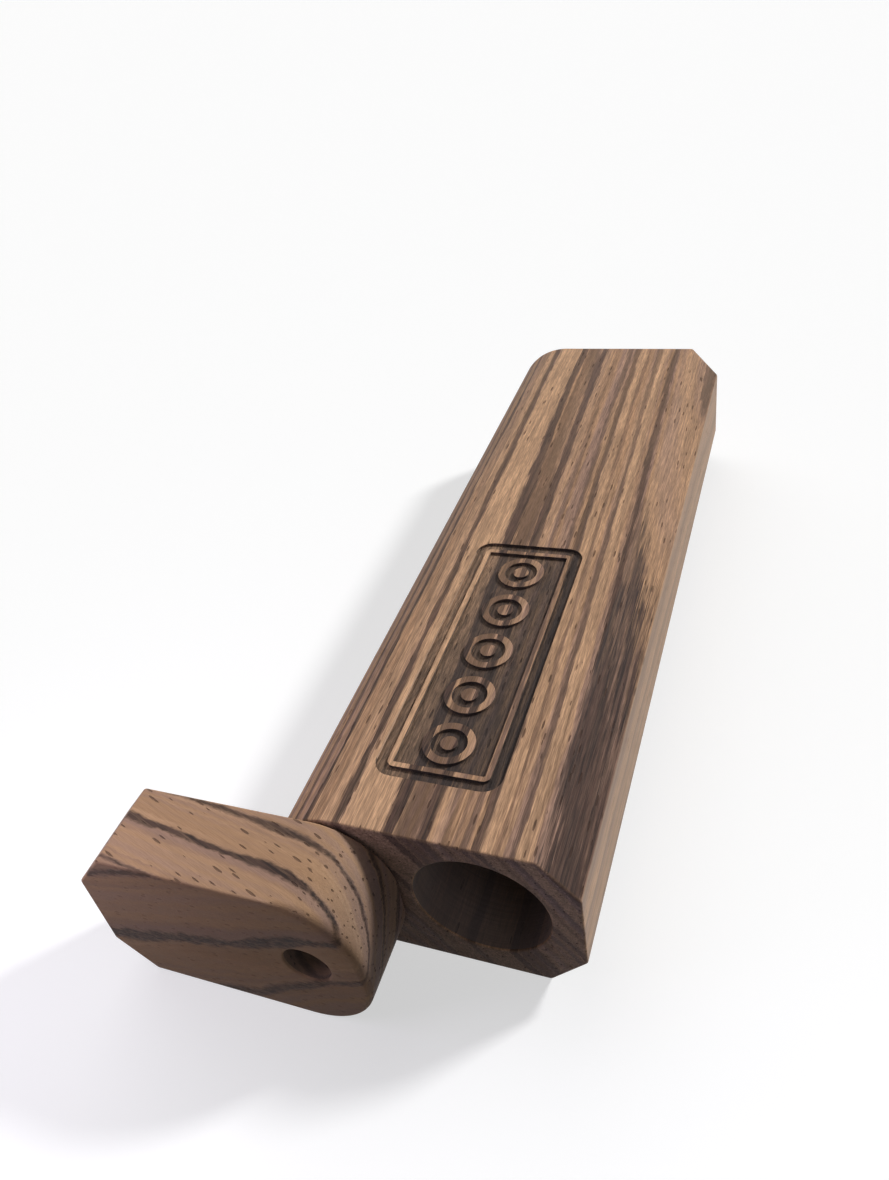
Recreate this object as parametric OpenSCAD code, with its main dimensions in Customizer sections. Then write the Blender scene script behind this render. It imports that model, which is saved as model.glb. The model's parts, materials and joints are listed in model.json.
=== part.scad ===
// Pocket case: a drilled hardwood block whose lid swivels on a pin along its length.
// Frame: origin at the centre of the block's base, +X to the chamfered side,
// +Y to the closed end, +Z up. The lid is drawn swung open beside the mouth.

/* [Block] */
// Width of the case across its broad face
case_w = 38.1; // [34:0.1:60]
// Thickness of the case between its broad faces
case_t = 23; // [20:0.1:40]
// Length of the wooden block without its lid
block_len = 118; // [80:0.5:180]
// Radius of the two long edges on the pivot side
round_r = 9.5; // [1:0.1:11]
// Width of each chamfer, measured on the broad face
chamfer_w = 4.6; // [1:0.1:8]
// Height of each chamfer, measured on the narrow side
chamfer_h = 5.4; // [1:0.1:8]

/* [Storage bore] */
// Diameter of the storage bore
bore_d = 16.7; // [10:0.1:18]
// Distance from the chamfered side to the bore's axis
bore_inset = 12.1; // [10:0.1:14]
// Height of the bore's axis above mid-thickness
bore_rise = 0.6; // [0:0.1:1]
// Wood left behind the bore's blind end
end_wall = 13; // [5:0.5:30]

/* [Lid] */
// Thickness of the lid along the case
lid_len = 11.3; // [9:0.1:18]
// Angle that the lid is swung away from closed, in degrees
lid_turn = 180; // [0:5:355]
// Distance that the lid's rounded side stops short of the block's
lid_short = 1.2; // [0:0.1:2]
// Gap between the edge of the storage bore and the lid when it is half a turn open
mouth_clear = 1.4; // [0:0.1:2]
// Wood left under the washers in the lid's recess
lid_web = 4.4; // [3:0.1:5.5]

/* [Pivot hardware] */
// Diameter of the screw's smooth shoulder
shoulder_d = 4; // [3.6:0.1:4.5]
// Diameter of the screw's thread
thread_d = 3; // [2:0.1:3.4]
// Diameter of the screw's head
head_d = 5.3; // [5:0.1:7]
// Height of the screw's head
head_h = 2.2; // [1.8:0.1:2.3]
// Width across the flats of the head's hexagon socket
socket_af = 2.5; // [1.5:0.1:3]
// Depth of the head's hexagon socket
socket_depth = 1.3; // [0.8:0.1:1.6]
// Outer diameter of the flat washer and the spring washer
washer_d = 5.6; // [5:0.1:8]
// Thickness of the flat washer
washer_t = 0.5; // [0.3:0.1:0.7]
// Sheet thickness of the conical spring washer
spring_t = 0.4; // [0.2:0.05:0.5]
// Rise of the spring washer's cone
spring_rise = 0.35; // [0.1:0.05:0.5]
// Outer diameter of the slip washer between lid and block
slip_d = 11; // [7:0.5:13]
// Thickness of the slip washer, which sets the gap under the lid
slip_t = 0.3; // [0.2:0.05:0.6]
// Outer diameter of the threaded insert
insert_d = 5.6; // [5:0.1:7]
// Length of the threaded insert
insert_len = 9; // [6:0.5:14]
// Distance that the thread stops short of the insert's inner end
thread_short = 2; // [0:0.5:4]
// Depth and width of the gripping groove round the insert
insert_groove = 0.4; // [0.2:0.1:0.6]

/* [Magnet catch] */
// Diameter of each magnet
magnet_d = 4; // [3:0.1:5]
// Thickness of each magnet
magnet_t = 2; // [1:0.1:3]
// Distance from the pivot's axis across to the magnets
magnet_reach = 3.5; // [2:0.1:6]
// Height of the magnets' axis above the base
magnet_height = 4; // [3:0.1:5]

/* [Etched panel] */
// Width of the panel across the broad face
panel_w = 16; // [8:0.5:18]
// Length of the panel along the case
panel_len = 46; // [20:1:60]
// Distance from the mouth to the panel
panel_start = 8; // [3:0.5:16]
// Depth of the etching
panel_depth = 0.4; // [0.1:0.05:1]
// Corner radius of the panel
panel_r = 2.4; // [0.5:0.1:3]
// Margin between the panel's edge and its raised border line
border_inset = 1.5; // [0.5:0.1:2]
// Width of the raised border line
border_w = 0.7; // [0.3:0.1:1]
// Outer diameter of each raised ring in the panel's middle
ring_d = 6.6; // [3:0.1:8]
// Width of each raised ring's line
ring_w = 1; // [0.4:0.1:1.4]
// Diameter of the raised dot in each ring
dot_d = 2.2; // [0.5:0.1:3]
// Number of rings in the row
ring_count = 5; // [1:1:6]

/* [Fits] */
// Radial clearance of the shoulder in what turns on it
running_fit = 0.05; // [0.02:0.01:0.1]
// Radial room round the washers and the screw's head in the lid's recess
recess_gap = 0.2; // [0.1:0.05:0.5]
// Radial glue gap round the insert and the magnets, and round the thread
glue_gap = 0.05; // [0.02:0.01:0.1]

/* [Hidden] */
$fn = 96;

// Sinks every cutter this far past the face that it opens
cut_over = 1;

// The pivot-side edges can't be rounder than half the thickness
edge_r = min(round_r, case_t / 2);
left_x = -case_w / 2;
right_x = case_w / 2;

// The pivot lies midway between the lid's rounded side and the bore, so the open lid clears the mouth
pivot_inset = (case_w - bore_inset - bore_d / 2 - mouth_clear + lid_short) / 2;

// Places in the end face, as [x, height above the base]
pivot = [left_x + pivot_inset, case_t / 2];
bore = [right_x - bore_inset, case_t / 2 + bore_rise];
magnet = [pivot.x + magnet_reach, magnet_height];

// Heights along the pivot, counted outward from the mouth
lid_base = slip_t;
recess_floor = lid_base + lid_web;
spring_seat = recess_floor + washer_t;
head_seat = spring_seat + spring_t + spring_rise;
lid_face = lid_base + lid_len;

bore_depth = block_len - end_wall;
shoulder_hole_d = shoulder_d + 2 * running_fit;
recess_d = max(washer_d, head_d) + 2 * recess_gap;
thread_len = insert_len - thread_short;
insert_hole_d = insert_d + 2 * glue_gap;
thread_hole_d = thread_d + 2 * glue_gap;
magnet_hole_d = magnet_d + 2 * glue_gap;
ring_pitch = (panel_len - 2 * (border_inset + border_w)) / ring_count;

wood = "#a8825d";
steel = "#b9bbc0";
brass = "#c9a557";
nickel = "#9c9da3";
nylon = "#e6e0d2";

// Turns a shape drawn in the end face, x across and y up, so that z points out of the mouth
module at_mouth() {
    translate([0, -block_len / 2, 0])
        rotate([90, 0, 0])
            children();
}

// The same, with the origin on the pivot's axis
module at_pivot() {
    at_mouth()
        translate([pivot.x, pivot.y, 0])
            children();
}

// Swings what belongs to the lid about the pivot
module swung() {
    at_pivot()
        rotate([0, 0, lid_turn])
            translate([-pivot.x, -pivot.y, 0])
                children();
}

// Outline of the case seen from its mouth: round on the pivot side, which may stop short,
// and chamfered on the other
module case_outline(short = 0) {
    side_x = left_x + short;
    for (y = [edge_r, case_t - edge_r])
        translate([side_x + edge_r, y])
            circle(r = edge_r);
    translate([side_x, edge_r])
        square([edge_r, case_t - 2 * edge_r]);
    polygon([
        [side_x + edge_r, 0],
        [right_x - chamfer_w, 0],
        [right_x, chamfer_h],
        [right_x, case_t - chamfer_h],
        [right_x - chamfer_w, case_t],
        [side_x + edge_r, case_t]
    ]);
}

// Rectangle with round corners, centred
module round_rect(w, h, r) {
    square([w - 2 * r, h], center = true);
    square([w, h - 2 * r], center = true);
    for (x = [-1, 1], y = [-1, 1])
        translate([x * (w / 2 - r), y * (h / 2 - r)])
            circle(r = r);
}

// The panel's outline drawn in by a margin
module panel_outline(margin) {
    round_rect(panel_w - 2 * margin, panel_len - 2 * margin, max(panel_r - margin, border_w / 4));
}

// Raised figure of the panel, drawn once for each place in its row
module ring_and_dot() {
    difference() {
        circle(d = ring_d);
        circle(d = ring_d - 2 * ring_w);
    }
    circle(d = dot_d);
}

// What is etched away: the panel, less a border line and a row of rings
module panel_field() {
    difference() {
        panel_outline(0);
        difference() {
            panel_outline(border_inset);
            panel_outline(border_inset + border_w);
        }
        for (i = [0 : ring_count - 1])
            translate([0, (i - (ring_count - 1) / 2) * ring_pitch])
                ring_and_dot();
    }
}

// Flat washer standing on z = 0
module washer(outer_d, inner_d, height) {
    difference() {
        cylinder(d = outer_d, h = height);
        translate([0, 0, -cut_over])
            cylinder(d = inner_d, h = height + 2 * cut_over);
    }
}

// Cylinder that opens the face at z = 0 and goes down to the given depth
module blind_hole(d, depth) {
    translate([0, 0, -depth])
        cylinder(d = d, h = depth + cut_over);
}

// Hexagon socket that opens the face at z = 0
module hex_socket(across_flats, depth) {
    translate([0, 0, -depth])
        cylinder(d = across_flats / cos(30), h = depth + cut_over, $fn = 6);
}

module block() {
    color(wood)
        difference() {
            at_mouth()
                translate([0, 0, -block_len])
                    linear_extrude(block_len)
                        case_outline();
            at_mouth()
                translate([bore.x, bore.y, 0])
                    blind_hole(bore_d, bore_depth);
            at_pivot()
                blind_hole(insert_hole_d, insert_len);
            at_mouth()
                translate([magnet.x, magnet.y, 0])
                    blind_hole(magnet_hole_d, magnet_t);
            translate([0, panel_start + panel_len / 2 - block_len / 2, case_t - panel_depth])
                linear_extrude(panel_depth + cut_over)
                    panel_field();
        }
}

module lid() {
    color(wood)
        swung()
            difference() {
                translate([0, 0, lid_base])
                    linear_extrude(lid_len)
                        case_outline(lid_short);
                translate([pivot.x, pivot.y, 0])
                    cylinder(d = shoulder_hole_d, h = lid_face);
                translate([pivot.x, pivot.y, lid_face])
                    blind_hole(recess_d, lid_face - recess_floor);
                translate([magnet.x, magnet.y, lid_base - cut_over])
                    cylinder(d = magnet_hole_d, h = magnet_t + cut_over);
            }
}

// Shoulder screw: its thread sits in the insert and its shoulder stops against it
module pivot_screw() {
    color(steel)
        at_pivot()
            difference() {
                union() {
                    translate([0, 0, -thread_len])
                        cylinder(d = thread_d, h = thread_len);
                    cylinder(d = shoulder_d, h = head_seat);
                    translate([0, 0, head_seat])
                        cylinder(d = head_d, h = head_h);
                }
                translate([0, 0, head_seat + head_h])
                    hex_socket(socket_af, socket_depth);
            }
}

// Conical washer that presses the lid against the slip washer
module spring_washer() {
    color(steel)
        at_pivot()
            translate([0, 0, spring_seat])
                rotate_extrude()
                    polygon([
                        [shoulder_hole_d / 2, spring_rise],
                        [washer_d / 2, 0],
                        [washer_d / 2, spring_t],
                        [shoulder_hole_d / 2, spring_rise + spring_t]
                    ]);
}

module flat_washer() {
    color(steel)
        at_pivot()
            translate([0, 0, recess_floor])
                washer(washer_d, shoulder_hole_d, washer_t);
}

module slip_washer() {
    color(nylon)
        at_pivot()
            washer(slip_d, shoulder_hole_d, slip_t);
}

// Brass insert glued in the block's end, with one groove that the glue grips
module threaded_insert() {
    color(brass)
        at_pivot()
            difference() {
                translate([0, 0, -insert_len])
                    cylinder(d = insert_d, h = insert_len);
                translate([0, 0, -insert_len - cut_over])
                    cylinder(d = thread_hole_d, h = insert_len + 2 * cut_over);
                translate([0, 0, -(insert_len + insert_groove) / 2])
                    washer(insert_d + cut_over, insert_d - 2 * insert_groove, insert_groove);
            }
}

module block_magnet() {
    color(nickel)
        at_mouth()
            translate([magnet.x, magnet.y, -magnet_t])
                cylinder(d = magnet_d, h = magnet_t);
}

module lid_magnet() {
    color(nickel)
        swung()
            translate([magnet.x, magnet.y, lid_base])
                cylinder(d = magnet_d, h = magnet_t);
}

block();
lid();
pivot_screw();
spring_washer();
flat_washer();
slip_washer();
threaded_insert();
block_magnet();
lid_magnet();
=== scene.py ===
import json
import math
from collections import namedtuple

import bmesh
import bpy
from mathutils import Matrix, Vector


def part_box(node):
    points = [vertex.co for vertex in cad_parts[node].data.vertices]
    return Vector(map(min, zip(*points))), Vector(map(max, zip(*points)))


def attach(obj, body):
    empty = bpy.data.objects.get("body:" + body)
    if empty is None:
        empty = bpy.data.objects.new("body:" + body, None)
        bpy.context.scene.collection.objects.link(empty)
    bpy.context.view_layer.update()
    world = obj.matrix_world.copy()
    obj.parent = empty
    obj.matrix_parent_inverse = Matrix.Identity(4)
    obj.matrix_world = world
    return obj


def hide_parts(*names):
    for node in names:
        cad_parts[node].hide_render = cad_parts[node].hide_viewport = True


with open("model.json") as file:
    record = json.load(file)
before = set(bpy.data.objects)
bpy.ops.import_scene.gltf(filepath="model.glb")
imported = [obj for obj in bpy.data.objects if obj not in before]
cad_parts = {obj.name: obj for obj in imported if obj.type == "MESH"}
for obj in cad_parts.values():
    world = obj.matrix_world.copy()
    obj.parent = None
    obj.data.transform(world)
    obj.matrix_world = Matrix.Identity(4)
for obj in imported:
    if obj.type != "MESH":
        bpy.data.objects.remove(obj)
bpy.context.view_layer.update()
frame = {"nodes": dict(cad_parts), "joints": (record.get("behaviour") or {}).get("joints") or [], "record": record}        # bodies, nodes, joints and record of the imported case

MM = 0.001

# Places read from the frame, in metres
BLOCK_LOW, BLOCK_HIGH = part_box("block")
LID_LOW, LID_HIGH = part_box("lid")
SCREW_LOW, SCREW_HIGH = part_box("pivot_screw")
MAGNET_LOW, MAGNET_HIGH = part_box("block_magnet")
LID_MAGNET_LOW, LID_MAGNET_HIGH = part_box("lid_magnet")
INSERT_LOW, INSERT_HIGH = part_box("threaded_insert")
WASHER_LOW, WASHER_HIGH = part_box("flat_washer")
MOUNTS = {mount["name"]: mount for mount in frame["record"]["mounts"]}
BORE = Vector(MOUNTS["storage_bore"]["pos_m"])
BORE_R = MOUNTS["storage_bore"]["dims"]["r_mm"] * MM
BORE_DEPTH = MOUNTS["storage_bore"]["dims"]["length_mm"] * MM
PIVOT = Vector(frame["joints"][0]["pos_m"])
MOUTH_Y = BLOCK_LOW.y
TOP_Z = BLOCK_HIGH.z
# Rounded side of the lid when it is shut, half a turn about the pivot from where it lies
LID_SIDE = 2 * PIVOT.x - LID_HIGH.x

# Outline and fits of the case, the same as in the solids
ROUND_R = 9.5 * MM
CHAMFER_W = 4.6 * MM
CHAMFER_H = 5.4 * MM
RUNNING_FIT = 0.05 * MM
GLUE_GAP = 0.05 * MM
RECESS_GAP = 0.2 * MM

# Etched panel, the same as in the solids
PANEL_W = 16 * MM
PANEL_LEN = 46 * MM
PANEL_START = 8 * MM
PANEL_DEPTH = 0.4 * MM
PANEL_R = 2.4 * MM
PANEL_MIDDLE = MOUTH_Y + PANEL_START + PANEL_LEN / 2
BORDER_INSET = 1.5 * MM
BORDER_W = 0.7 * MM
RING_D = 6.6 * MM
RING_W = 1.0 * MM
DOT_D = 2.2 * MM
RING_COUNT = 5

# Screw, the same as in the solids apart from its cut thread
SHOULDER_D = 4.0 * MM
THREAD_D = 3.0 * MM
THREAD_PITCH = 0.5 * MM
THREAD_CUT = 0.3 * MM
HEAD_D = SCREW_HIGH.x - SCREW_LOW.x
HEAD_H = 2.2 * MM
SOCKET_AF = 2.5 * MM
SOCKET_DEPTH = 1.3 * MM
SOCKET_SIDES = 6

# Radii of the softened edges
SOFT_CORNER = 0.7 * MM
SOFT_END = 0.35 * MM
SOFT_THUMB = 1.9 * MM
SOFT_MOUTH = 0.3 * MM
SOFT_METAL = 0.25 * MM
SOFT_LEAST = 0.05 * MM

# Fineness of the meshes, and how far a cutter stands out of what it cuts
ROUND_STEPS = 28
SOFT_STEPS = 4
PANEL_STEPS = 8
EDGE_STEPS = 6
LATHE_STEPS = 96
SHARP_ANGLE = math.radians(30)
CUT_OVER = 1.0 * MM

# A face belongs to a hole or to the panel by its centre, within these shares of their sizes
HOLE_REACH = 1.01
PANEL_FROM, PANEL_TO = 0.9, 1.02
PANEL_FLOOR, PANEL_RIM = 1.5, 0.1

# Name of the vertex layer that holds how rubbed an edge is
WEAR = "wear"

# Camera of the photograph
CAMERA_AT = Vector((37.37, -117.51, 111.33)) * MM
CAMERA_AIM = Vector((-23.53, -4.85, 11.5)) * MM
CAMERA_ROLL = math.radians(-12.53)
CAMERA_LENS = 30.0
CAMERA_SENSOR = 36.0
CAMERA_SHIFT_X = 0.0377
CAMERA_NEAR = 5 * MM

# Windows: name, direction towards it, strength, and width in degrees
WINDOWS = (
    ("window_right", Vector((0.64, 0.64, 0.62)), 2.72, 8),
    ("window_left", Vector((-0.50, 0.50, 0.70)), 1.1, 60),
)
# Softboxes: name, place and aim in millimetres, power in watts, and colour
SOFTBOXES = (
    ("front_left", Vector((-60, -90, 46)), Vector((-30, -70, 12)), 0.0106, (0.98, 0.86, 1.14)),
    ("front_right", Vector((70, -95, 60)), Vector((14, -59, 12)), 0.0056, (0.96, 1.01, 1.19)),
)
SOFTBOX_W = 40 * MM
# Strength of the world's light on the case
FILL = 0.06

# Floor
FLOOR_HALF = 2.0
FLOOR_GAP = 0.02 * MM
FLOOR_BOUNCE = (0.065, 0.0635, 0.063, 1.0)
FLOOR_SEEN = (0.50, 0.50, 0.50, 1.0)
FLOOR_GLOW = 0.57
FLOOR_ROUGHNESS = 0.9

# Tones of the wood and of the nylon, in linear light
WHITE = (1.0, 1.0, 1.0, 1.0)
CREAM = (0.50, 0.302, 0.178, 1.0)
TAN = (0.372, 0.215, 0.123, 1.0)
ROSY = (0.318, 0.193, 0.140, 1.0)
UMBER = (0.082, 0.047, 0.036, 1.0)
INK = (0.026, 0.017, 0.015, 1.0)
PORE = (0.060, 0.034, 0.025, 1.0)
# Painted sheen on the block's right side
PAINTED_SIDE_SHEEN = (0.640, 0.485, 0.375, 1.0)
CHAR = (0.056, 0.050, 0.050, 1.0)
DUST = (0.292, 0.235, 0.216, 1.0)
NYLON_PALE = (0.72, 0.68, 0.60, 1.0)
NYLON_DULL = (0.62, 0.58, 0.50, 1.0)

# Layers of the block: centre and width in millimetres across the layers, counted from the
# middle of its top face, and strength
BLOCK_DARK = (
    (-36.0, 1.0, 0.70), (-33.6, 0.7, 0.60), (-31.2, 1.6, 0.80), (-28.0, 0.6, 0.60),
    (-25.0, 0.9, 0.80), (-22.6, 1.2, 0.50), (-20.3, 0.5, 0.50), (-18.1, 0.8, 0.75),
    (-15.9, 0.7, 0.90), (-13.6, 0.4, 0.40), (-11.5, 0.9, 0.85), (-5.95, 1.4, 0.95),
    (-4.1, 2.4, 0.62), (-2.15, 1.2, 0.90), (0.4, 0.8, 0.35), (2.9, 0.8, 0.60),
    (4.35, 1.0, 0.80), (6.5, 0.6, 0.45), (8.4, 0.8, 0.65), (9.9, 0.4, 0.30),
    (11.5, 0.9, 0.90), (16.3, 1.2, 0.85),
)
BLOCK_PALE = (
    (-13.0, 1.6, 0.70), (-8.8, 4.2, 0.95), (-0.9, 1.2, 0.50), (5.4, 1.6, 0.70),
    (9.4, 1.6, 0.95), (13.6, 2.2, 0.35),
)
# Dark flame beside the panel, which runs out along the block
BLOCK_FLAME = ((11.85, 1.6, 1.0),)
# Layers of the lid, counted from the corner of its inner and upper faces
LID_DARK = (
    (-17.5, 0.9, 0.75), (-12.4, 0.5, 0.80), (-6.4, 0.75, 0.95), (-1.4, 0.6, 0.85),
    (3.6, 0.8, 0.80), (8.4, 0.9, 0.75), (13.4, 0.9, 0.75),
)
LID_PALE = ((-9.4, 3.0, 0.30), (-3.8, 2.4, 0.08), (1.2, 2.0, 0.15))
# Half width in millimetres of the layers' soft edges, and of those of the lid's dark ones
LAYER_SOFT = 0.15
LID_DARK_SOFT = 0.2

# A noise pattern: how fast it changes along each of three axes, per millimetre, its detail and
# roughness, and a shift along the third axis
Pattern = namedtuple("Pattern", "rates detail roughness shift", defaults=(2.0, 0.5, 0.0))

# How layers stray, slowly, in waves, raggedly and by fibres: pattern over x, y and z, and reach
# in millimetres
BLOCK_STRAY = (
    (Pattern((0.05, 0.012, 0.05)), 0.9),
    (Pattern((0.35, 0.045, 0.35), 3.0), 0.7),
    (Pattern((2.4, 0.22, 2.4)), 0.55),
    (Pattern((6.0, 0.16, 6.0)), 0.9),
)
LID_STRAY = (
    (Pattern((0.03, 0.06, 0.06)), 0.6),
    (Pattern((0.12, 0.4, 0.4), 3.0), 0.8),
    (Pattern((0.9, 2.2, 2.2)), 0.5),
    (Pattern((2.4, 6.0, 6.0)), 0.25),
)

# In this script a range has two or four numbers: as a value goes from the first to the second,
# the result eases from the third to the fourth, or from 0 to 1. Places are in millimetres.

# Most values of a noise lie in this range
NOISE = (0.3, 0.7)

# Block: sideways lean of its layers with depth, their drift and hook by y and x, the flame's
# ragged end and breaks, the layers' thinning, and their strength by y and x
BLOCK_LEAN = 0.68
DRIFT_BY_Y, DRIFT_BY_X = (75.0, -55.0, 0.0, -3.4), (-10.0, 1.0, 0.62, 1.0)
HOOK_BY_Y, HOOK_BY_X = (34.0, 50.0, 0.0, 1.7), (15.0, 18.5)
FLAME_END = (16.0, -6.0)
FLAME_RAGGED = 30.0
FLAME_GRAIN = Pattern((1.8, 0.06, 1.8), 4.0, 0.7)
FLAME_BREAKS = (0.38, 0.56, 0.42, 1.0)
BLOCK_SWELL = Pattern((0.3, 0.05, 0.0), shift=8.1)
BLOCK_THINNING = (*NOISE, 0.75, 1.35)
DARK_BY_Y, DARK_BY_X = (50.0, -45.0, 0.80, 1.0), (18.7, 19.0, 1.0, 0.5)

# Lid: lean of its layers with depth and how that grows across, their rise across, the fibres'
# slant, and the layers' thinning
LID_LEAN = -0.46
LID_LEAN_GROWTH = -0.012
LID_RISE = 0.13
LID_SLANT = math.radians(20)
LID_SWELL = Pattern((0.3, 0.16, 0.0), shift=2.3)
LID_THINNING = (0.32, 0.68, 0.6, 1.3)

# Fibres: patterns over two axes across and one along, and their contrast
FIBRE, FIBRE_CONTRAST = Pattern((3.2, 3.2, 0.14), 4.0, 0.65), 0.30
HAIR, HAIR_CONTRAST = Pattern((9.0, 9.0, 0.55)), 0.24
STREAK, STREAK_CONTRAST = Pattern((1.1, 1.1, 0.05), 3.0, 0.6), 0.14
# Tones that change from layer to layer: patterns over the layers and along the fibre
PALENESS, PALE_RANGE = Pattern((0.8, 0.012, 0.0), 3.0, 0.6, 3.7), (0.49, 0.74, 0.0, 0.8)
HUE, TAN_RANGE = Pattern((0.9, 0.01, 0.0), shift=17.3), (0.36, 0.64)
# Blackness of the dark layers, and how far the fibres break them up
INKINESS, INK_RANGE = Pattern((2.1, 2.1, 0.07), 3.0, 0.6, 31.0), (0.38, 0.62)
DARK_FIBRES = (0.25, 0.62, 0.68, 1.10)

# How far a face is turned to show end grain, closed grain or the right side, which gets painted
# sheen
END_FACING = (0.45, 0.97)
CLOSED_FACING = (0.5, 0.95)
PAINTED_SHEEN_FACING = (0.80, 0.97)
# End grain gets painted light towards the right side: over this x range, by this gain
PAINTED_END_LIGHT_BY_X = (9.0, 17.5)
PAINTED_END_LIGHT_GAIN = 0.55
RUBBED = 0.16

# Open pores: spacing across the fibre, radius and half length, in millimetres
Pores = namedtuple("Pores", "spacing radius half_length")
# Their spacing along the fibre as a multiple of that across it, their sizes, their soft rim, how
# much of their tone they show, and how much rougher they are
PORE_STRETCH = 2.2
PORE_SIZES = (0.08, 0.9, 0.05, 1.0)
PORE_RIM = (0.65, 1.0)
PORE_TONE = 0.65
PORE_ROUGHNESS = 0.2

# Gloss and relief of the wood
WOOD_SPECULAR = 0.12
WOOD_ROUGHNESS = (0.2, 0.8, 0.52, 0.68)
WOOD_RELIEF = 0.10 * MM
FIBRE_RELIEF = 0.45
HAIR_RELIEF = 0.25

# Etching: scorch marks, shade by x and y, charring, and relief
BURN, BURN_SHADE = Pattern((0.9, 0.9, 0.16), 4.0, 0.7), (*NOISE, 0.40, 0.76)
SCORCH, SCORCH_SHADE = Pattern((3.6, 3.6, 0.45), 4.0, 0.7), (0.36, 0.62, 0.60, 1.16)
ETCHED_BY_X, ETCHED_BY_Y = (-8.0, 8.0, 1.25, 0.62), (-48.0, -8.0, 0.92, 1.34)
CHARRED = 0.45
ETCHED_ROUGHNESS = 0.15
ETCHED_RELIEF = 0.18 * MM
BURN_RELIEF = 1.2
SCORCH_RELIEF = 1.0
ETCHED_FIBRE_RELIEF = 0.8

# Drilled holes: marks of the drill over x, y and z, and painted shade that darkens the holes' walls
# to about half
CHATTER, CHATTER_AND_PAINTED_SHADE = Pattern((0.05, 2.6, 0.05)), (*NOISE, 0.42, 0.58)
CHATTER_RELIEF = 0.8

# Turned metal: rings over radius and y, and stains
TURNING = Pattern((14.0, 9.0, 0.0), 3.0)
TURNING_SMOOTHER, TURNING_ROUGHER = 0.06, 0.10
TURNING_RELIEF = 0.012 * MM
STAIN, STAIN_RANGE = Pattern((0.9, 0.9, 0.9), 4.0, 0.6), (0.35, 0.75, 0.0, 0.45)
STAIN_TONE = 0.55
STAIN_ROUGHNESS = 0.08

# Nylon
MOTTLE = Pattern((1.2, 1.2, 1.2), 3.0)
NYLON_ROUGHNESS = (*NOISE, 0.42, 0.55)
NYLON_RELIEF = 0.01 * MM


# Mesh helpers

def add_object(name, data):
    """Puts new data in the scene as an object."""
    made = bpy.data.objects.new(name, data)
    bpy.context.scene.collection.objects.link(made)
    return made


def new_object(name, bm):
    """Closes a bmesh into an object of that name."""
    bmesh.ops.recalc_face_normals(bm, faces=bm.faces)
    mesh = bpy.data.meshes.new(name)
    bm.to_mesh(mesh)
    bm.free()
    return add_object(name, mesh)


def bake_modifiers(made):
    """Replaces an object's mesh by what its modifiers make of it."""
    graph = bpy.context.evaluated_depsgraph_get()
    mesh = bpy.data.meshes.new_from_object(made.evaluated_get(graph))
    old = made.data
    made.modifiers.clear()
    made.data = mesh
    bpy.data.meshes.remove(old)


def carve(made, cutters):
    """Cuts each of the cutters out of an object and deletes them."""
    for cutter in cutters:
        cut = made.modifiers.new("cut", "BOOLEAN")
        cut.operation = "DIFFERENCE"
        cut.solver = "EXACT"
        cut.object = cutter
        bake_modifiers(made)
        mesh = cutter.data
        bpy.data.objects.remove(cutter)
        bpy.data.meshes.remove(mesh)


def smooth(made):
    """Shades an object smooth, apart from its sharp edges."""
    mesh = made.data
    mesh.polygons.foreach_set("use_smooth", [True] * len(mesh.polygons))
    mesh.set_sharp_from_angle(angle=SHARP_ANGLE)


def quarter_turn(steps):
    """Angles from 0 to a right angle."""
    return [math.pi / 2 * k / steps for k in range(steps + 1)]


def full_turn(steps):
    """Angles round a circle."""
    return [2 * math.pi * k / steps for k in range(steps)]


def inset_corners(corners, margin):
    """Corners of a convex polygon, given anticlockwise, after its sides move in by the margin."""
    moved = []
    count = len(corners)
    for i, corner in enumerate(corners):
        back = (corner - corners[i - 1]).normalized()
        ahead = (corners[(i + 1) % count] - corner).normalized()
        back_in = Vector((-back.y, back.x))
        ahead_in = Vector((-ahead.y, ahead.x))
        moved.append(corner + (back_in + ahead_in) * (margin / (1 + back_in.dot(ahead_in))))
    return moved


def rounded_polygon(corners, radii, steps, margin=0.0):
    """Points round a convex polygon with an arc at each corner, moved in by the margin."""
    inner = inset_corners(corners, margin)
    points = []
    for i, corner in enumerate(inner):
        back = (inner[i - 1] - corner).normalized()
        ahead = (inner[(i + 1) % len(inner)] - corner).normalized()
        half = back.angle(ahead) / 2
        radius = max(radii[i] - margin, SOFT_LEAST)
        centre = corner + (back + ahead).normalized() * (radius / math.sin(half))
        start = corner + back * (radius / math.tan(half)) - centre
        turn = (math.pi - 2 * half) / steps[i]
        for k in range(steps[i] + 1):
            points.append(centre + Matrix.Rotation(turn * k, 2) @ start)
    return points


def case_outline(left, margin=0.0):
    """The case's outline as (x, z) points: rounded on the left, chamfered on the right."""
    right, low, high = BLOCK_HIGH.x, BLOCK_LOW.z, BLOCK_HIGH.z
    corners = [Vector(corner) for corner in (
        (left, low), (right - CHAMFER_W, low), (right, low + CHAMFER_H),
        (right, high - CHAMFER_H), (right - CHAMFER_W, high), (left, high),
    )]
    chamfered = len(corners) - 2
    radii = (ROUND_R, *[SOFT_CORNER] * chamfered, ROUND_R)
    steps = (ROUND_STEPS, *[SOFT_STEPS] * chamfered, ROUND_STEPS)
    return rounded_polygon(corners, radii, steps, margin)


def loft(name, rings, wear=None):
    """Solid through rings of equally many points; wear says how rubbed each ring is, 0 to 1."""
    bm = bmesh.new()
    rubbed = bm.verts.layers.float.new(WEAR)
    loops = []
    for i, ring in enumerate(rings):
        loop = [bm.verts.new(point) for point in ring]
        for vert in loop:
            vert[rubbed] = wear[i] if wear else 0.0
        loops.append(loop)
    for near, far in zip(loops, loops[1:]):
        for i in range(len(near)):
            bm.faces.new((near[i - 1], near[i], far[i], far[i - 1]))
    bm.faces.new(loops[0])
    bm.faces.new(loops[-1])
    return new_object(name, bm)


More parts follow.
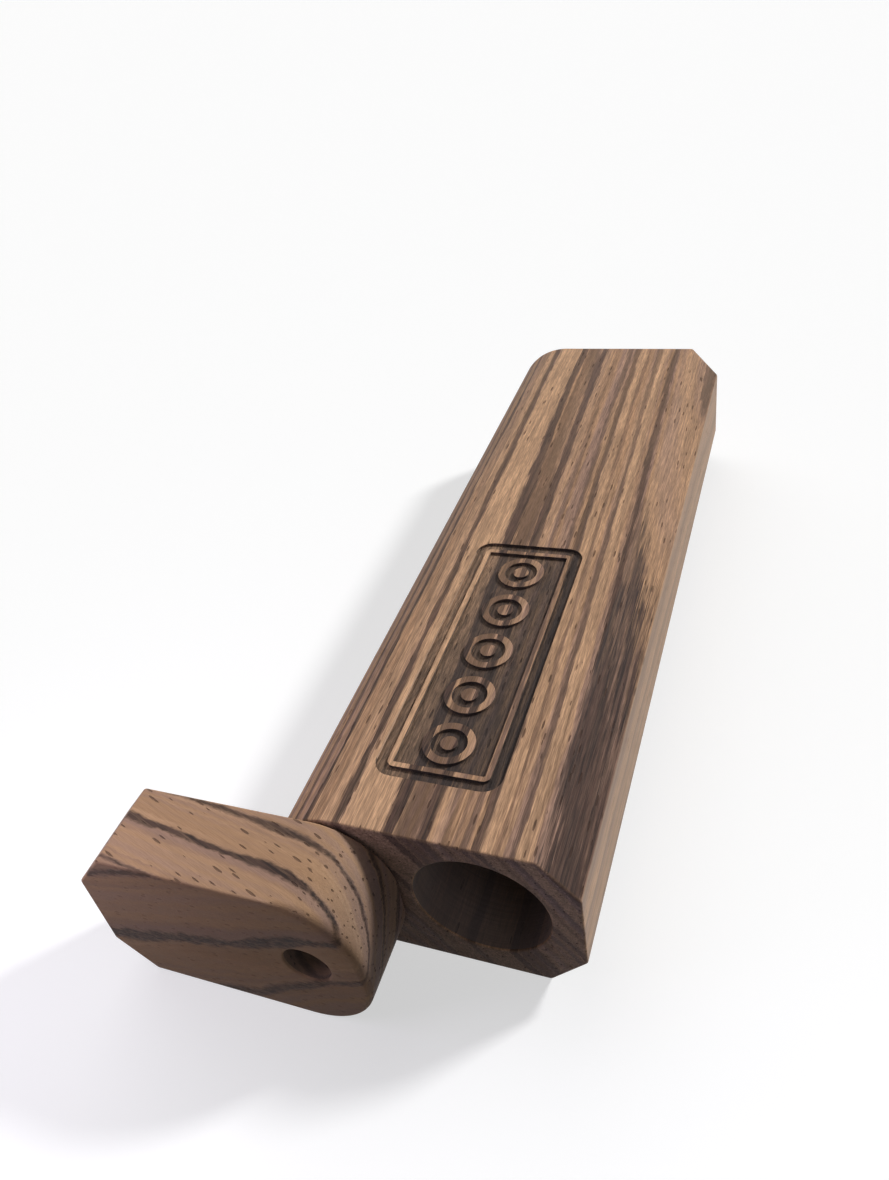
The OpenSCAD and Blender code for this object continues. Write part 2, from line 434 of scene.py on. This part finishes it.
def case_slice(name, left, y_near, y_far, thumb=SOFT_END):
    """Length of the case's section between two planes, with softened end edges.

    The near edge is softened by up to the thumb radius low on the rounded side, and by
    SOFT_END elsewhere.
    """
    outline = case_outline(left)
    drawn_in = case_outline(left, SOFT_END)
    inward = [(inner - outer) / SOFT_END for inner, outer in zip(drawn_in, outline)]
    near_soft = []
    for point in outline:
        side = min(max((left + ROUND_R - point.x) / ROUND_R, 0.0), 1.0)
        lowness = (BLOCK_HIGH.z - point.y) / (BLOCK_HIGH.z - BLOCK_LOW.z)
        near_soft.append(SOFT_END + (thumb - SOFT_END) * math.sqrt(side) * lowness)
    far_soft = [SOFT_END] * len(outline)
    quarter = quarter_turn(EDGE_STEPS)

    def ring(y_face, into, softs, angle):
        points = []
        for point, way, soft in zip(outline, inward, softs):
            at = point + way * soft * (1 - math.sin(angle))
            points.append((at.x, y_face + into * soft * (1 - math.cos(angle)), at.y))
        return points

    rings = [ring(y_near, 1, near_soft, a) for a in quarter]
    rings += [ring(y_far, -1, far_soft, a) for a in reversed(quarter)]
    wear = [math.sin(2 * a) for a in quarter]
    return loft(name, rings, wear + wear[::-1])


def lathe(name, profile, centre, steps=LATHE_STEPS):
    """Solid turned about a line along Y through the centre, from (radius, y) points."""
    bm = bmesh.new()
    loops = []
    for radius, y in profile:
        if radius == 0:
            loops.append([bm.verts.new((centre.x, y, centre.z))] * steps)
            continue
        points = [(centre.x + radius * math.cos(a), y, centre.z + radius * math.sin(a))
                  for a in full_turn(steps)]
        loops.append([bm.verts.new(point) for point in points])
    for near, far in zip(loops, loops[1:]):
        for i in range(steps):
            corners = (near[i - 1], near[i], far[i], far[i - 1])
            bm.faces.new(dict.fromkeys(corners))
    return new_object(name, bm)


def mouth_cutter(name, centre, radius, y_mouth, depth, out=-1.0):
    """Round cutter that opens the plane y_mouth with a soft edge; out is the way out along Y."""
    def at(into):
        return y_mouth - out * into

    profile = [(0, at(depth)), (radius, at(depth))]
    for a in quarter_turn(SOFT_STEPS):
        flare, sunk = SOFT_MOUTH * (1 - math.cos(a)), SOFT_MOUTH * (1 - math.sin(a))
        profile.append((radius + flare, at(sunk)))
    profile += [(radius + SOFT_MOUTH, at(-CUT_OVER)), (0, at(-CUT_OVER))]
    return lathe(name, profile, centre)


def prism(name, outline, z_low, z_high):
    """Upright solid over (x, y) points."""
    return loft(name, [[(p.x, p.y, z) for p in outline] for z in (z_low, z_high)])


def circle(centre, radius):
    """Points of a circle about an (x, y) centre."""
    turns = full_turn(LATHE_STEPS)
    return [centre + Vector((math.cos(a), math.sin(a))) * radius for a in turns]


def half_width(low, high):
    """Radius of a round piece along Y, from the corners of its box."""
    return (high.x - low.x) / 2


def in_hole(point, centre, radius, y_from, y_to):
    """Whether a face with its centre there belongs to a hole along Y."""
    away = math.hypot(point.x - centre.x, point.z - centre.z)
    return y_from < point.y < y_to and away < radius * HOLE_REACH


def in_panel(point):
    """Whether a face with its centre there belongs to the etched panel."""
    y_from = MOUTH_Y + PANEL_START * PANEL_FROM
    y_to = MOUTH_Y + PANEL_START + PANEL_LEN * PANEL_TO
    z_from, z_to = TOP_Z - PANEL_DEPTH * PANEL_FLOOR, TOP_Z - PANEL_DEPTH * PANEL_RIM
    across = abs(point.x) <= PANEL_W / 2
    return across and y_from < point.y < y_to and z_from < point.z < z_to


def paint_faces(made, materials, choose):
    """Gives each face the material whose number choose(centre) returns."""
    for material in materials:
        made.data.materials.append(material)
    for face in made.data.polygons:
        face.material_index = choose(face.center)


# Block, lid and pivot

def panel_outline(margin):
    """The etched panel's outline on the top face, drawn in by a margin."""
    w, h = PANEL_W / 2, PANEL_LEN / 2
    offsets = ((-w, -h), (w, -h), (w, h), (-w, h))
    corners = [Vector((x, PANEL_MIDDLE + y)) for x, y in offsets]
    return rounded_polygon(corners, [PANEL_R] * 4, [PANEL_STEPS] * 4, margin)


def panel_cutter():
    """What the etching takes away: the panel, less its border line and its rings and dots."""
    low, high = TOP_Z - PANEL_DEPTH, TOP_Z + CUT_OVER

    def column(name, outline, over):
        return prism(name, outline, low - over * CUT_OVER, high + over * CUT_OVER)

    def band(name, outer, inner):
        made = column(name, outer, 1)
        carve(made, [column("inside", inner, 2)])
        return made

    field = column("panel_field", panel_outline(0.0), 0)
    border_in = BORDER_INSET + BORDER_W
    raised = [band("panel_border", panel_outline(BORDER_INSET), panel_outline(border_in))]
    pitch = (PANEL_LEN - 2 * border_in) / RING_COUNT
    for i in range(RING_COUNT):
        centre = Vector((0.0, PANEL_MIDDLE + (i - (RING_COUNT - 1) / 2) * pitch))
        outer, inner = circle(centre, RING_D / 2), circle(centre, RING_D / 2 - RING_W)
        raised += [band("ring", outer, inner), column("dot", circle(centre, DOT_D / 2), 1)]
    carve(field, raised)
    return field


def make_block(planed, etched, drilled):
    """The drilled block, with its etched panel."""
    made = case_slice("block_wood", BLOCK_LOW.x, MOUTH_Y, BLOCK_HIGH.y)
    magnet = (MAGNET_LOW + MAGNET_HIGH) / 2
    magnet_r = half_width(MAGNET_LOW, MAGNET_HIGH) + GLUE_GAP
    insert_r = half_width(INSERT_LOW, INSERT_HIGH) + GLUE_GAP
    carve(made, [
        mouth_cutter("bore", BORE, BORE_R, MOUTH_Y, BORE_DEPTH),
        mouth_cutter("insert_hole", PIVOT, insert_r, MOUTH_Y, INSERT_HIGH.y - MOUTH_Y),
        mouth_cutter("magnet_hole", magnet, magnet_r, MOUTH_Y, MAGNET_HIGH.y - MOUTH_Y),
        panel_cutter(),
    ])
    bore_from, bore_to = MOUTH_Y + SOFT_END, MOUTH_Y + BORE_DEPTH * HOLE_REACH

    def choose(centre):
        if in_panel(centre):
            return 1
        return 2 if in_hole(centre, BORE, BORE_R, bore_from, bore_to) else 0

    paint_faces(made, (planed, etched, drilled), choose)
    smooth(made)
    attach(made, "case")
    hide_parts("block")


def make_lid(planed, drilled):
    """The lid as it lies, swung half a turn about the pivot."""
    made = case_slice("lid_wood", LID_SIDE, LID_LOW.y, LID_HIGH.y, thumb=SOFT_THUMB)
    half_turn = Matrix.Rotation(math.pi, 4, "Y")
    made.data.transform(Matrix.Translation(PIVOT) @ half_turn @ Matrix.Translation(-PIVOT))
    magnet = (LID_MAGNET_LOW + LID_MAGNET_HIGH) / 2
    magnet_r = half_width(LID_MAGNET_LOW, LID_MAGNET_HIGH) + GLUE_GAP
    magnet_depth = LID_HIGH.y - LID_MAGNET_LOW.y
    recess_r = max(half_width(WASHER_LOW, WASHER_HIGH), HEAD_D / 2) + RECESS_GAP
    shoulder_r = SHOULDER_D / 2 + RUNNING_FIT
    shoulder_depth = LID_HIGH.y - WASHER_HIGH.y + CUT_OVER
    carve(made, [
        mouth_cutter("recess", PIVOT, recess_r, LID_LOW.y, WASHER_HIGH.y - LID_LOW.y),
        mouth_cutter("shoulder_hole", PIVOT, shoulder_r, LID_HIGH.y, shoulder_depth, out=1.0),
        mouth_cutter("magnet_hole", magnet, magnet_r, LID_HIGH.y, magnet_depth, out=1.0),
    ])
    recess_from, recess_to = LID_LOW.y + SOFT_END, LID_HIGH.y - SOFT_END

    def choose(centre):
        return 1 if in_hole(centre, PIVOT, recess_r, recess_from, recess_to) else 0

    paint_faces(made, (planed, drilled), choose)
    smooth(made)
    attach(made, "swivel_lid")
    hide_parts("lid")


def make_screw(material):
    """The pivot's shoulder screw, with a soft rim, a hexagon socket and a cut thread."""
    head_top = SCREW_LOW.y
    head_seat = head_top + HEAD_H
    tip = SCREW_HIGH.y
    edge = HEAD_D / 2 - SOFT_METAL
    profile = [(0, head_top)]
    for a in quarter_turn(SOFT_STEPS):
        rise = SOFT_METAL * (1 - math.cos(a))
        profile.append((edge + SOFT_METAL * math.sin(a), head_top + rise))
    crest, root = THREAD_D / 2, THREAD_D / 2 - THREAD_CUT
    y = MOUTH_Y
    profile += [(HEAD_D / 2, head_seat), (SHOULDER_D / 2, head_seat)]
    profile += [(SHOULDER_D / 2, y), (root, y)]
    while y + THREAD_PITCH < tip - THREAD_CUT:
        profile += [(crest, y + THREAD_PITCH / 2), (root, y + THREAD_PITCH)]
        y += THREAD_PITCH
    profile += [(root, tip), (0, tip)]
    made = lathe("screw_detail", profile, PIVOT)
    socket_r = SOCKET_AF / 2 / math.cos(math.pi / SOCKET_SIDES)
    bottom, above = head_top + SOCKET_DEPTH, head_top - CUT_OVER
    socket = [(0, bottom), (socket_r, bottom), (socket_r, above), (0, above)]
    carve(made, [lathe("socket", socket, PIVOT, SOCKET_SIDES)])
    made.data.materials.append(material)
    smooth(made)
    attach(made, "case")
    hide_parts("pivot_screw")


# Materials

class Graph:
    """Builds the nodes of a material or a world. Most methods return the socket of their result."""

    def __init__(self, owner):
        owner.use_nodes = True
        self.owner = owner
        self.tree = owner.node_tree
        self.tree.nodes.clear()

    def node(self, kind, inputs=None, **settings):
        """A new node, with its settings made and its inputs linked or set."""
        made = self.tree.nodes.new(kind)
        for key, value in settings.items():
            setattr(made, key, value)
        for key, value in (inputs or {}).items():
            if isinstance(value, bpy.types.NodeSocket):
                self.tree.links.new(value, made.inputs[key])
            else:
                made.inputs[key].default_value = value
        return made

    def math(self, operation, *values):
        return self.node("ShaderNodeMath", dict(enumerate(values)), operation=operation).outputs[0]

    def add(self, *values):
        total = values[0]
        for value in values[1:]:
            total = self.math("ADD", total, value)
        return total

    def times(self, a, b):
        return self.math("MULTIPLY", a, b)

    def vector(self, x, y, z):
        return self.node("ShaderNodeCombineXYZ", {0: x, 1: y, 2: z}).outputs[0]

    def vector_math(self, operation, *values):
        """All outputs of a vector operation."""
        inputs = dict(enumerate(values))
        return self.node("ShaderNodeVectorMath", inputs, operation=operation).outputs

    def split(self, vector):
        """A vector's x, y and z."""
        return self.node("ShaderNodeSeparateXYZ", {0: vector}).outputs[:]

    def place(self):
        """The point's x, y and z in millimetres."""
        point = self.node("ShaderNodeTexCoord").outputs["Object"]
        return self.split(self.vector_math("MULTIPLY", point, (1 / MM,) * 3)["Vector"])

    def normal(self):
        """The x, y and z of the way that the surface faces."""
        return self.split(self.node("ShaderNodeTexCoord").outputs["Normal"])

    def noise(self, axes, pattern):
        """The pattern's noise over three axes, from 0 to 1."""
        x, y, z = [self.times(axis, rate) for axis, rate in zip(axes, pattern.rates)]
        point = self.vector(x, y, self.add(z, pattern.shift))
        inputs = {"Vector": point, "Scale": 1.0, "Detail": pattern.detail,
                  "Roughness": pattern.roughness}
        return self.node("ShaderNodeTexNoise", inputs).outputs["Fac"]

    def wander(self, axes, pattern, reach):
        """Noise between about minus and plus half the reach."""
        return self.times(self.math("SUBTRACT", self.noise(axes, pattern), 0.5), reach)

    def span(self, value, low, high, to_low=0.0, to_high=1.0):
        """Eases from to_low to to_high as the value goes from low to high."""
        inputs = {"Value": value, "From Min": low, "From Max": high,
                  "To Min": to_low, "To Max": to_high}
        return self.node("ShaderNodeMapRange", inputs, interpolation_type="SMOOTHSTEP").outputs[0]

    def mix(self, factor, a, b, blend="MIX"):
        inputs = {0: factor, 6: a, 7: b}
        return self.node("ShaderNodeMix", inputs, data_type="RGBA", blend_type=blend).outputs[2]

    def shade(self, colour, *factors):
        """The colour times each factor, which is a number or a colour."""
        for factor in factors:
            colour = self.mix(1.0, colour, factor, "MULTIPLY")
        return colour

    def bump(self, height, distance):
        inputs = {"Height": height, "Distance": distance, "Strength": 1.0}
        return self.node("ShaderNodeBump", inputs).outputs[0]

    def seen(self):
        """1 for rays from the camera and for those that gloss or glass sends on, 0 for others."""
        path = self.node("ShaderNodeLightPath").outputs
        sent_on = self.math("MAXIMUM", path["Is Glossy Ray"], path["Is Transmission Ray"])
        return self.math("MAXIMUM", path["Is Camera Ray"], sent_on)

    def finish(self, **inputs):
        """Ends a material in a Principled shader; underscores in names stand for spaces."""
        named = {key.replace("_", " "): value for key, value in inputs.items()}
        shader = self.node("ShaderNodeBsdfPrincipled", named)
        self.node("ShaderNodeOutputMaterial", {"Surface": shader.outputs[0]})
        return self.owner


def bands(g, layer, stripes, swell=1.0, softness=LAYER_SOFT):
    """Strength of the stripe at that layer, from 0 to 1. A higher swell thins the stripes."""
    strongest = 0.0
    for centre, width, strength in stripes:
        away = g.times(g.math("ABSOLUTE", g.math("SUBTRACT", layer, centre)), swell)
        core, rim = max(width / 2 - softness, 0.0), width / 2 + softness
        strongest = g.math("MAXIMUM", strongest, g.span(away, rim, core, 0.0, strength))
    return strongest


def block_layers(g, x, y, z):
    """The block's dark and pale stripes, the layer itself, and its axes with the fibre's last."""
    lean = g.times(g.math("SUBTRACT", z, TOP_Z / MM), BLOCK_LEAN)
    drift = g.times(g.span(y, *DRIFT_BY_Y), g.span(x, *DRIFT_BY_X))
    hook = g.times(g.span(y, *HOOK_BY_Y), g.span(x, *HOOK_BY_X))
    slow, wave, ragged, feather = [g.wander((x, y, z), *stray) for stray in BLOCK_STRAY]
    layer = g.add(x, lean, drift, hook, slow, wave, ragged, feather)
    reach = g.span(g.add(y, g.times(ragged, FLAME_RAGGED)), *FLAME_END)
    breaks = g.span(g.noise((x, y, z), FLAME_GRAIN), *FLAME_BREAKS)
    flame = g.times(bands(g, layer, BLOCK_FLAME), g.times(reach, breaks))
    swell = g.span(g.noise((layer, y, 0.0), BLOCK_SWELL), *BLOCK_THINNING)
    dark = g.math("MAXIMUM", bands(g, layer, BLOCK_DARK, swell), flame)
    dark = g.times(dark, g.times(g.span(y, *DARK_BY_Y), g.span(x, *DARK_BY_X)))
    return dark, bands(g, layer, BLOCK_PALE), layer, (x, z, y)


def lid_layers(g, x, y, z):
    """The same for the lid, whose fibres run across the case at a slant."""
    across = g.math("SUBTRACT", x, BLOCK_LOW.x / MM)
    growth = g.times(g.math("MAXIMUM", across, 0.0), LID_LEAN_GROWTH)
    lean = g.times(g.math("SUBTRACT", z, LID_HIGH.z / MM), g.add(growth, LID_LEAN))
    slow, wave, ragged, feather = [g.wander((x, y, z), *stray) for stray in LID_STRAY]
    depth = g.math("SUBTRACT", y, LID_HIGH.y / MM)
    layer = g.add(depth, g.times(across, LID_RISE), lean, slow, wave, ragged, feather)
    cos, sin = math.cos(LID_SLANT), math.sin(LID_SLANT)
    along = g.add(g.times(x, cos), g.times(y, -sin))
    beside = g.add(g.times(y, cos), g.times(x, sin))
    swell = g.span(g.noise((layer, x, 0.0), LID_SWELL), *LID_THINNING)
    dark = bands(g, layer, LID_DARK, swell, LID_DARK_SOFT)
    return dark, bands(g, layer, LID_PALE), layer, (beside, z, along)


def open_pores(g, axes, pores):
    """Short open vessels along the third axis, dots in the end grain: 1 inside, 0 outside."""
    across, along = pores.spacing, pores.spacing * PORE_STRETCH
    u, v, w = axes
    point = g.vector(g.times(u, 1 / across), g.times(v, 1 / across), g.times(w, 1 / along))
    inputs = {"Vector": point, "Scale": 1.0, "Randomness": 1.0}
    found = g.node("ShaderNodeTexVoronoi", inputs).outputs
    away = g.vector_math("SUBTRACT", point, found["Position"])["Vector"]
    shape = (across / pores.radius, across / pores.radius, along / pores.half_length)
    reach = g.vector_math("LENGTH", g.vector_math("MULTIPLY", away, shape)["Vector"])["Value"]
    chance = g.node("ShaderNodeSeparateColor", {0: found["Color"]}).outputs[0]
    size = g.span(chance, *PORE_SIZES)
    return g.math("SUBTRACT", 1.0, g.span(g.math("DIVIDE", reach, size), *PORE_RIM))


# A wood: the function for its layers, the axis that its fibres run along, factors of its tone,
# of the tone of its end grain, which is darker as oiled end grain and holds painted shade, and of
# the stripes there, its pores and the share of them that is open on faces along the layers, the
# fibres' contrast, the painted light on its right side and on the end grain near it, and the
# dust in its holes
Wood = namedtuple("Wood", "name layers fibre_axis tone end_tone end_stripes pores open_share "
                          "contrast bleach dust")
BLOCK_WOOD = Wood(
    name="block", layers=block_layers, fibre_axis=1,
    tone=WHITE, end_tone=(0.70, 0.765, 0.965, 1.0), end_stripes=0.66,
    pores=Pores(0.95, 0.16, 1.0), open_share=1.0, contrast=1.0, bleach=0.45, dust=0.50,
)
LID_WOOD = Wood(
    name="lid", layers=lid_layers, fibre_axis=0,
    tone=(0.925, 0.945, 0.93, 1.0), end_tone=(0.78, 0.84, 0.98, 1.0), end_stripes=1.0,
    pores=Pores(0.75, 0.17, 1.0), open_share=0.4, contrast=0.22, bleach=0.0, dust=0.12,
)


def wood_material(wood, surface):
    """Striped hardwood with open pores. The surface is planed, etched or drilled."""
    g = Graph(bpy.data.materials.new(wood.name + "_" + surface))
    x, y, z = g.place()
    dark, pale, layer, axes = wood.layers(g, x, y, z)
    by_layer = (layer, axes[2], 0.0)
    normal = g.normal()
    end_grain = g.span(g.math("ABSOLUTE", normal[wood.fibre_axis]), *END_FACING)
    dark = g.times(dark, g.span(end_grain, 0.0, 1.0, 1.0, wood.end_stripes))

    # Dark and pale stripes on a ground whose tone changes from layer to layer, and fine fibres
    fibre, hair, streak = [g.noise(axes, pattern) for pattern in (FIBRE, HAIR, STREAK)]
    ground = g.mix(g.span(g.noise(by_layer, HUE), *TAN_RANGE), ROSY, TAN)
    own = g.span(g.noise(by_layer, PALENESS), *PALE_RANGE)
    light = g.mix(g.math("MAXIMUM", pale, own), ground, CREAM)
    stripe = g.mix(g.span(g.noise(axes, INKINESS), *INK_RANGE), UMBER, INK)
    colour = g.mix(g.times(dark, g.span(fibre, *DARK_FIBRES)), light, stripe)
    colour = g.shade(colour, wood.tone)
    fibres = ((fibre, FIBRE_CONTRAST), (hair, HAIR_CONTRAST), (streak, STREAK_CONTRAST))
    for pattern, contrast in fibres:
        reach = contrast * wood.contrast
        colour = g.shade(colour, g.span(pattern, *NOISE, 1 - reach, 1 + reach))

    # Open pores, fewer of them on faces that run with the layers
    along_layers = g.math("ABSOLUTE", normal[1 - wood.fibre_axis])
    opened = g.span(along_layers, *CLOSED_FACING, 1.0, wood.open_share)
    pore = g.times(open_pores(g, axes, wood.pores), opened)
    colour = g.mix(g.times(pore, PORE_TONE), colour, PORE)

    # End grain drinks more oil and looks darker, and its tone adds painted shade, darker and bluer;
    # painted light makes it lighter towards the right side
    painted_end_light = g.span(x, *PAINTED_END_LIGHT_BY_X, 1.0, 1.0 + PAINTED_END_LIGHT_GAIN * wood.bleach)
    colour = g.mix(end_grain, colour, g.shade(colour, wood.end_tone, painted_end_light))

    # Painted sheen: faces turned to +x are painted paler and greyer, as if lit and glossed; rubbed
    # edges are a little paler
    colour = g.mix(g.span(normal[0], *PAINTED_SHEEN_FACING, 0.0, wood.bleach), colour, PAINTED_SIDE_SHEEN)
    wear = g.node("ShaderNodeAttribute", attribute_name=WEAR).outputs["Fac"]
    colour = g.mix(g.times(wear, RUBBED), colour, CREAM)

    height = g.add(g.times(fibre, FIBRE_RELIEF), g.times(hair, HAIR_RELIEF), g.times(pore, -1.0))
    rough = g.add(g.span(fibre, *WOOD_ROUGHNESS), g.times(pore, PORE_ROUGHNESS))
    relief = WOOD_RELIEF
    if surface == "etched":
        burn, scorch = g.noise(axes, BURN), g.noise(axes, SCORCH)
        colour = g.shade(colour, g.span(burn, *BURN_SHADE), g.span(scorch, *SCORCH_SHADE),
                         g.span(x, *ETCHED_BY_X), g.span(y, *ETCHED_BY_Y))
        colour = g.mix(CHARRED, colour, CHAR)
        height = g.add(height, g.times(burn, BURN_RELIEF), g.times(scorch, SCORCH_RELIEF),
                       g.times(fibre, ETCHED_FIBRE_RELIEF))
        rough = g.add(rough, ETCHED_ROUGHNESS)
        relief = ETCHED_RELIEF
    if surface == "drilled":
        chatter = g.noise((x, y, z), CHATTER)
        # Painted shade: the holes' walls are painted about half as dark, mottled by the drill's
        # marks, and dust then pales them
        colour = g.shade(colour, g.span(chatter, *CHATTER_AND_PAINTED_SHADE))
        colour = g.mix(wood.dust, colour, DUST)
        height = g.add(height, g.times(chatter, CHATTER_RELIEF))
    return g.finish(Base_Color=colour, Roughness=rough, Specular_IOR_Level=WOOD_SPECULAR,
                    Normal=g.bump(height, relief))


def metal_material(name, colour, roughness):
    """Turned metal, with fine rings about the pivot and faint stains."""
    g = Graph(bpy.data.materials.new(name))
    x, y, z = g.place()
    dx = g.math("SUBTRACT", x, PIVOT.x / MM)
    dz = g.math("SUBTRACT", z, PIVOT.z / MM)
    radius = g.math("SQRT", g.add(g.times(dx, dx), g.times(dz, dz)))
    rings = g.noise((radius, y, 0.0), TURNING)
    stain = g.noise((x, y, z), STAIN)
    clean, stained = (*colour, 1.0), (*[c * STAIN_TONE for c in colour], 1.0)
    smoothest, roughest = roughness - TURNING_SMOOTHER, roughness + TURNING_ROUGHER
    rough = g.add(g.span(rings, *NOISE, smoothest, roughest), g.times(stain, STAIN_ROUGHNESS))
    return g.finish(Base_Color=g.mix(g.span(stain, *STAIN_RANGE), clean, stained), Metallic=1.0,
                    Roughness=rough, Normal=g.bump(rings, TURNING_RELIEF))


def nylon_material():
    """Milky sheet plastic with a faint mottle."""
    g = Graph(bpy.data.materials.new("natural_nylon"))
    mottle = g.noise(g.place(), MOTTLE)
    return g.finish(Base_Color=g.mix(g.span(mottle, *NOISE), NYLON_PALE, NYLON_DULL),
                    Roughness=g.span(mottle, *NYLON_ROUGHNESS),
                    Normal=g.bump(mottle, NYLON_RELIEF))


def floor_material():
    """White to the camera and in reflections, and a dark grey to the light that bounces off it."""
    g = Graph(bpy.data.materials.new("floor"))
    seen = g.seen()
    return g.finish(Base_Color=g.mix(seen, FLOOR_BOUNCE, FLOOR_SEEN), Roughness=FLOOR_ROUGHNESS,
                    Specular_IOR_Level=0.0, Emission_Color=WHITE,
                    Emission_Strength=g.times(seen, FLOOR_GLOW))


def dress_node(name, material):
    """Gives a carried-over solid its finish."""
    slots = frame["nodes"][name].data.materials
    slots.clear()
    slots.append(material)


# Stage

def make_floor():
    """Pale floor just under the case."""
    bm = bmesh.new()
    corners = [(x * FLOOR_HALF, y * FLOOR_HALF) for x, y in ((-1, -1), (1, -1), (1, 1), (-1, 1))]
    bm.faces.new([bm.verts.new((x, y, BLOCK_LOW.z - FLOOR_GAP)) for x, y in corners])
    floor = new_object("floor", bm)
    floor.data.materials.append(floor_material())


def make_world():
    """White to the camera and in reflections, and a faint fill on the case."""
    world = bpy.data.worlds.new("studio")
    g = Graph(world)
    strength = g.span(g.seen(), 0.0, 1.0, FILL, 1.0)
    background = g.node("ShaderNodeBackground", {"Color": WHITE, "Strength": strength})
    g.node("ShaderNodeOutputWorld", {"Surface": background.outputs[0]})
    bpy.context.scene.world = world


def add_window(name, towards, strength, spread):
    """Soft light from one side, as from a wide window; spread is its width in degrees."""
    lamp = bpy.data.lights.new(name, "SUN")
    lamp.energy = strength
    lamp.angle = math.radians(spread)
    add_object(name, lamp).rotation_euler = (-towards).to_track_quat("-Z", "Y").to_euler()


def add_softbox(name, at, aim, power, colour):
    """Small square lamp near the case; its place and aim are in millimetres."""
    lamp = bpy.data.lights.new(name, "AREA")
    lamp.energy = power
    lamp.size = SOFTBOX_W
    lamp.color = colour
    made = add_object(name, lamp)
    made.location = at * MM
    made.rotation_euler = (aim * MM - at * MM).to_track_quat("-Z", "Y").to_euler()
    made.visible_camera = False


def make_camera():
    """Camera at the photograph's viewing angle."""
    camera = bpy.data.cameras.new("photo_camera")
    camera.lens = CAMERA_LENS
    camera.sensor_width = CAMERA_SENSOR
    camera.shift_x = CAMERA_SHIFT_X
    camera.clip_start = CAMERA_NEAR
    made = add_object("photo_camera", camera)
    forward = (CAMERA_AIM - CAMERA_AT).normalized()
    right = forward.cross(Vector((0, 0, 1))).normalized()
    up = right.cross(forward)
    turn = Matrix.Rotation(-CAMERA_ROLL, 3, forward)
    axes = Matrix((turn @ right, turn @ up, -forward)).transposed()
    made.matrix_world = Matrix.Translation(CAMERA_AT) @ axes.to_4x4()
    bpy.context.scene.camera = made


make_camera()
bpy.context.scene.view_settings.view_transform = "Standard"
make_world()
make_floor()
for window in WINDOWS:
    add_window(*window)
for softbox in SOFTBOXES:
    add_softbox(*softbox)

make_block(*[wood_material(BLOCK_WOOD, surface) for surface in ("planed", "etched", "drilled")])
make_lid(*[wood_material(LID_WOOD, surface) for surface in ("planed", "drilled")])
STEEL = metal_material("plated_steel", (0.58, 0.59, 0.60), 0.30)
NICKEL = metal_material("nickel_plate", (0.64, 0.63, 0.61), 0.22)
BRASS = metal_material("turned_brass", (0.72, 0.52, 0.24), 0.30)
make_screw(STEEL)
for washer in ("flat_washer", "spring_washer"):
    dress_node(washer, STEEL)
dress_node("slip_washer", nylon_material())
dress_node("threaded_insert", BRASS)
for magnet in ("block_magnet", "lid_magnet"):
    dress_node(magnet, NICKEL)
